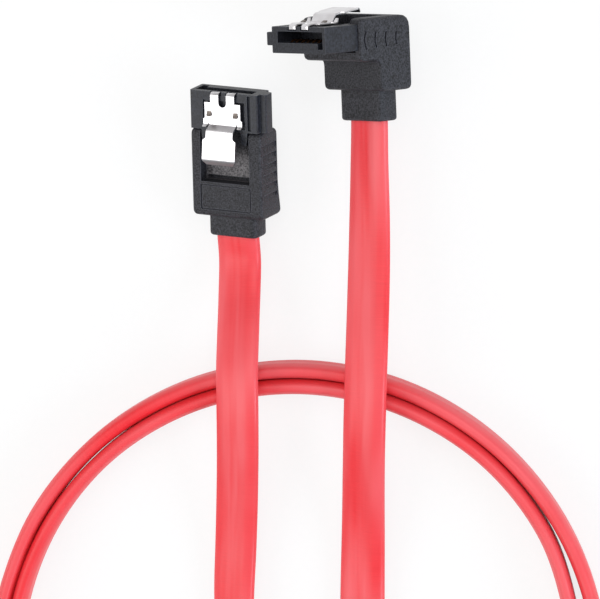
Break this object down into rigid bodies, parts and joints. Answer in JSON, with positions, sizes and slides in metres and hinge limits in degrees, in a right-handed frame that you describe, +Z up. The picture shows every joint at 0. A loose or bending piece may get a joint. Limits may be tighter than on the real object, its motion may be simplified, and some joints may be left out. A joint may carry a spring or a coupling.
{
  "type": "sata data cable",
  "caption": "Flat red data cable in loose turns with a straight and a right-angle latching plug, each with a steel clip and sprung contacts.",
  "frame": {"origin": "on the surface the cable lies on, midway between the outer limits of the two plugs", "axes": "+Z up from the surface, +Y from the loop towards the plugs, +X towards the right-angle plug"},
  "size_m": [0.1042, 0.1629, 0.023],
  "materials": {
    "shell": "fine satin moulding",
    "boot": "fine grain",
    "steel": "bright rolled sheet",
    "bronze": "plated spring strip",
    "jacket": "satin extruded jacket"
  },
  "bodies": {
    "cable": {"straight_housing": "shell", "straight_boot": "boot", "straight_contact_1": "bronze", "straight_contact_2": "bronze", "straight_contact_3": "bronze", "straight_contact_4": "bronze", "straight_contact_5": "bronze", "straight_contact_6": "bronze", "straight_contact_7": "bronze", "angled_housing": "shell", "angled_boot": "boot", "angled_contact_1": "bronze", "angled_contact_2": "bronze", "angled_contact_3": "bronze", "angled_contact_4": "bronze", "angled_contact_5": "bronze", "angled_contact_6": "bronze", "angled_contact_7": "bronze", "flat_cable": "jacket"},
    "straight_clip": {"straight_latch_clip": "steel"},
    "angled_clip": {"angled_latch_clip": "steel"}
  },
  "joints": [
    {"name": "straight_clip_press", "type": "hinge", "parent": "cable", "child": "straight_clip", "pos_m": [-0.01271, 0.00451, 0.01107], "axis": [0.9432, -0.0318, 0.3307], "range_deg": [0, 5], "stiffness_Nm_per_rad": 0.4},
    {"name": "angled_clip_press", "type": "hinge", "parent": "cable", "child": "angled_clip", "pos_m": [0.0013, 0.01737, 0.01865], "axis": [-0.7883, -0.0615, -0.6122], "range_deg": [0, 5], "stiffness_Nm_per_rad": 0.4}
  ]
}
